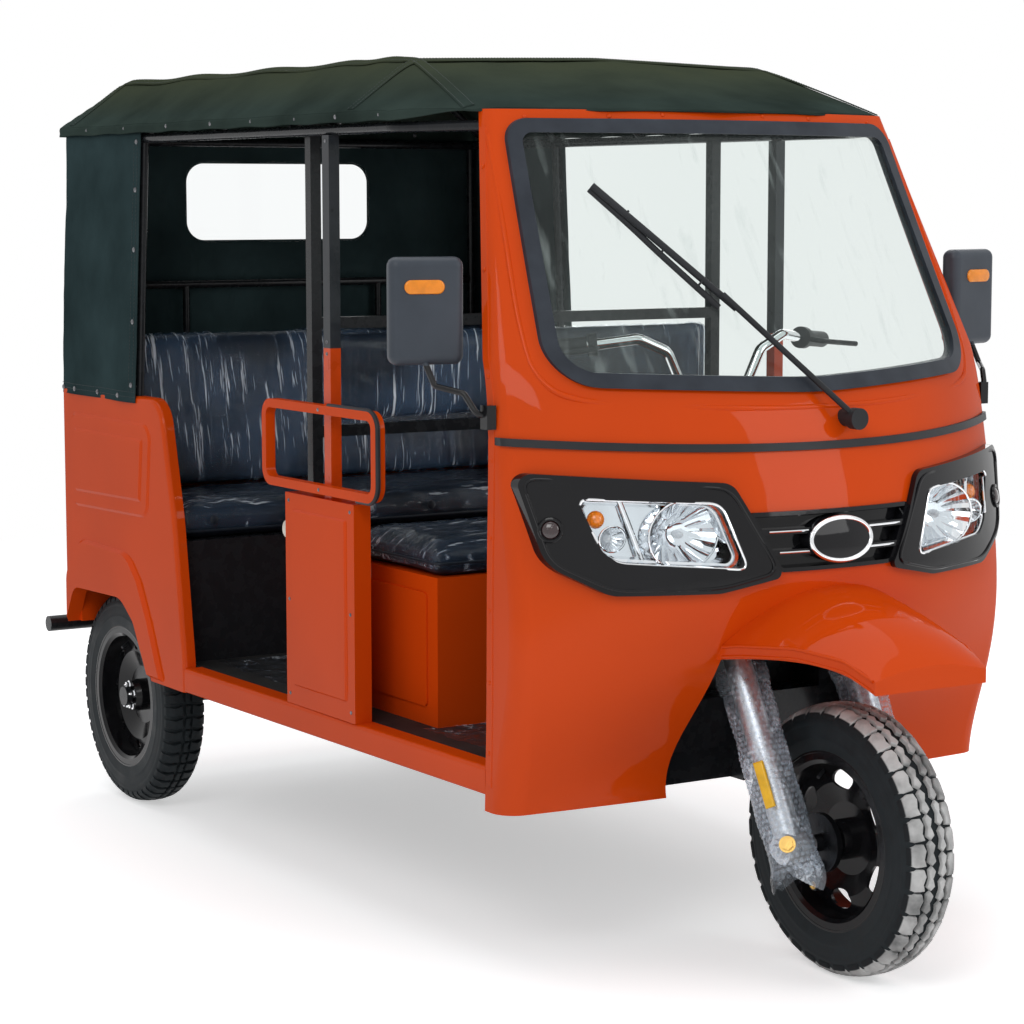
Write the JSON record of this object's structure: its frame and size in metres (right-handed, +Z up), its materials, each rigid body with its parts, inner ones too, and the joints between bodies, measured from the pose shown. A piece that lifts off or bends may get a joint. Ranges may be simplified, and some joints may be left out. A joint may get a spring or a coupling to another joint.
{
  "type": "three-wheeled auto rickshaw",
  "caption": "Auto rickshaw with a steel front cowl and windshield, steered front wheel, open sides, driver's seat, passenger bench and a canvas roof with a rear curtain.",
  "frame": {"origin": "on the ground under the middle of the overall length and width", "axes": "+Z up, -Y towards the front wheel, -X towards the vehicle's right side"},
  "size_m": [1.5106, 2.7695, 1.8099],
  "materials": {
    "body_orange": "gloss",
    "frame_black": "semi-gloss",
    "floor_black": "matt",
    "trim_black": "satin",
    "gloss_black": "gloss",
    "seal_rubber": "satin",
    "clear_glass": "clear",
    "clear_film": "clear film",
    "reflector_chrome": "mirror",
    "mirror_glass": "mirror",
    "lamp_red": "gloss",
    "seat_black": "vinyl",
    "canvas_dark": "coated canvas",
    "cast_grey": "cast",
    "polished_alloy": "polished",
    "bar_chrome": "mirror",
    "wheel_black": "gloss",
    "tyre_rubber": "matt"
  },
  "bodies": {
    "body": {"chassis_frame": "frame_black", "floor_pan": "floor_black", "side_sills": "body_orange", "front_cowl": "body_orange", "front_bulkhead": "frame_black", "instrument_panel": "trim_black", "windshield_seal": "seal_rubber", "windshield_glass": "clear_glass", "wiper": "trim_black", "lamp_surrounds": "gloss_black", "headlamp_reflectors": "reflector_chrome", "headlamp_lenses": "clear_glass", "grille": "gloss_black", "belt_moulding": "trim_black", "front_mudguard": "body_orange", "mirrors": "trim_black", "mirror_glasses": "mirror_glass", "quarter_panels": "body_orange", "tail_panel": "body_orange", "tail_lamps": "lamp_red", "rear_bumper": "frame_black", "centre_panels": "body_orange", "centre_pillars": "frame_black", "guard_loops": "body_orange", "driver_seat_box": "body_orange", "driver_seat": "seat_black", "driver_backrest_frame": "frame_black", "driver_backrest_pad": "seat_black", "bench_base": "frame_black", "bench_cushion": "seat_black", "bench_backrest": "seat_black", "inner_rails": "frame_black", "roof_frame": "frame_black", "roof_bows": "frame_black", "canopy_roof": "canvas_dark", "canopy_curtain": "canvas_dark", "rear_window": "clear_film", "rear_axle": "frame_black", "propeller_shaft": "frame_black", "leaf_springs": "frame_black", "engine": "cast_grey", "exhaust": "frame_black"},
    "steering": {"fork": "frame_black", "fork_sliders": "polished_alloy", "fork_wraps": "clear_film", "handlebar": "bar_chrome", "handlebar_controls": "trim_black"},
    "front_wheel": {"front_rim": "wheel_black", "front_tyre": "tyre_rubber"},
    "rear_right_wheel": {"rear_right_rim": "wheel_black", "rear_right_tyre": "tyre_rubber"},
    "rear_left_wheel": {"rear_left_rim": "wheel_black", "rear_left_tyre": "tyre_rubber"}
  },
  "joints": [
    {"name": "steer", "type": "hinge", "parent": "body", "child": "steering", "pos_m": [0, -1.07825, 0.2675], "axis": [0, 0.4633, 0.8862], "range_deg": [-35, 35]},
    {"name": "front_wheel_spin", "type": "hinge", "parent": "steering", "child": "front_wheel", "pos_m": [0, -1.11725, 0.2675], "axis": [1, 0, 0], "continuous": true},
    {"name": "rear_right_spin", "type": "hinge", "parent": "body", "child": "rear_right_wheel", "pos_m": [-0.525, 1.03275, 0.2675], "axis": [1, 0, 0], "continuous": true},
    {"name": "rear_left_spin", "type": "hinge", "parent": "body", "child": "rear_left_wheel", "pos_m": [0.525, 1.03275, 0.2675], "axis": [1, 0, 0], "continuous": true}
  ]
}
